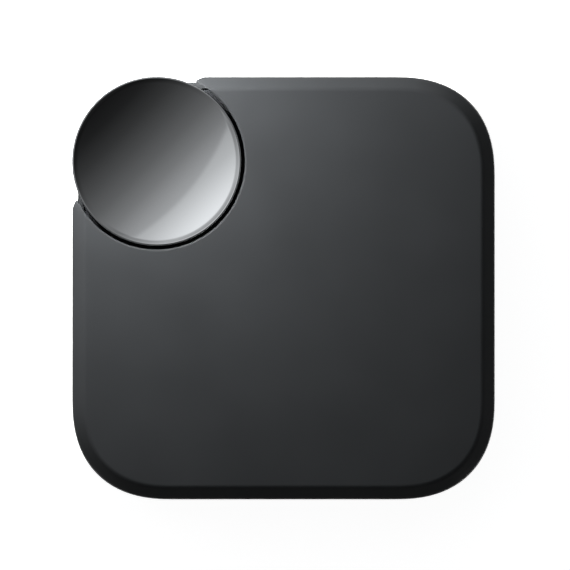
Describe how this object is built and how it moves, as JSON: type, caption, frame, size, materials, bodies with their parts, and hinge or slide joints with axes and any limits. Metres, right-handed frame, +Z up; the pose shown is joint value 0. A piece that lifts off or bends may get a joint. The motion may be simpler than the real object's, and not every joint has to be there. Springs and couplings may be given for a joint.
{
  "type": "wireless earbud charging case",
  "caption": "Matte rounded-square charging case for stemmed wireless earbuds, with a back-hinged lid, moulded pockets and a glossy dished corner dial that turns and presses.",
  "frame": {"origin": "middle of the underside of the base", "axes": "+Z up out of the lid's top face, +X to the side away from the dial, +Y towards the dial; the lid's hinge runs along X at the -Y side"},
  "size_m": [0.06, 0.06, 0.023],
  "materials": {
    "shell_plastic": "fine matte dark grey",
    "liner_plastic": "satin near-black",
    "dial_gloss": "mirror-polished",
    "dial_metal": "dark anodised, satin",
    "steel": "satin",
    "gold": "gold plated",
    "board": "solder mask",
    "chip": "moulded black",
    "battery_wrap": "foil pouch",
    "magnet": "nickel plated",
    "nylon": "natural",
    "flex": "amber film",
    "lead_red": "silicone",
    "lead_black": "silicone",
    "light_pipe": "frosted clear"
  },
  "bodies": {
    "base": {"base_shell": "shell_plastic", "base_cradle": "liner_plastic", "base_latch_magnet_1": "magnet", "base_latch_magnet_2": "magnet", "left_bud_magnet": "magnet", "right_bud_magnet": "magnet", "hinge_base_leaf": "steel", "hinge_pin": "steel", "hinge_spring": "steel", "base_leaf_screw_1": "steel", "base_leaf_screw_2": "steel", "board_screw_1": "steel", "board_screw_2": "steel", "board_screw_3": "steel", "main_board": "board", "charging_chip": "chip", "radio_chip": "chip", "power_inductor": "chip", "lid_sensor": "chip", "status_led": "light_pipe", "battery_plug": "nylon", "usb_socket_shell": "steel", "usb_socket_tongue": "chip", "battery_cell": "battery_wrap", "battery_pad": "nylon", "battery_lead_red": "lead_red", "battery_lead_black": "lead_black", "left_contact_board": "board", "right_contact_board": "board", "left_contact_flex": "flex", "right_contact_flex": "flex", "left_pin_barrel_1": "gold", "left_pin_barrel_2": "gold", "right_pin_barrel_1": "gold", "right_pin_barrel_2": "gold", "status_light_pipe": "light_pipe", "dial_spring": "steel", "dial_sensor_board": "board", "dial_sensor_1": "chip", "dial_sensor_2": "chip", "dial_switch": "chip"},
    "lid": {"lid_shell": "shell_plastic", "lid_liner": "liner_plastic", "lid_latch_magnet_1": "magnet", "lid_latch_magnet_2": "magnet", "lid_sensor_magnet": "magnet", "hinge_lid_leaf": "steel", "lid_leaf_screw_1": "steel", "lid_leaf_screw_2": "steel"},
    "dial_carrier": {"dial_carrier": "nylon", "dial_retaining_clip": "steel", "dial_switch_button": "nylon"},
    "dial": {"dial_knob": "dial_metal", "dial_cap": "dial_gloss", "dial_magnet_ring": "magnet"},
    "left_pin_1": {"left_charging_pin_1": "gold"},
    "left_pin_2": {"left_charging_pin_2": "gold"},
    "right_pin_1": {"right_charging_pin_1": "gold"},
    "right_pin_2": {"right_charging_pin_2": "gold"}
  },
  "joints": [
    {"name": "lid_hinge", "type": "hinge", "parent": "base", "child": "lid", "pos_m": [0, -0.0284, 0.0124], "axis": [1, 0, 0], "range_deg": [0, 98]},
    {"name": "dial_press", "type": "slide", "parent": "base", "child": "dial_carrier", "axis": [0, 0, -1], "range_m": [0, 0.0005], "stiffness_N_per_m": 800, "springref_m": -0.001, "deforming": ["dial_spring"]},
    {"name": "dial_turn", "type": "hinge", "parent": "dial_carrier", "child": "dial", "pos_m": [-0.018, 0.018, 0.013], "axis": [0, 0, 1], "continuous": true},
    {"name": "left_pin_1_press", "type": "slide", "parent": "base", "child": "left_pin_1", "axis": [0, 0, -1], "range_m": [0, 0.0006], "stiffness_N_per_m": 100, "springref_m": -0.002},
    {"name": "left_pin_2_press", "type": "slide", "parent": "base", "child": "left_pin_2", "axis": [0, 0, -1], "range_m": [0, 0.0006], "stiffness_N_per_m": 100, "springref_m": -0.002},
    {"name": "right_pin_1_press", "type": "slide", "parent": "base", "child": "right_pin_1", "axis": [0, 0, -1], "range_m": [0, 0.0006], "stiffness_N_per_m": 100, "springref_m": -0.002},
    {"name": "right_pin_2_press", "type": "slide", "parent": "base", "child": "right_pin_2", "axis": [0, 0, -1], "range_m": [0, 0.0006], "stiffness_N_per_m": 100, "springref_m": -0.002}
  ]
}
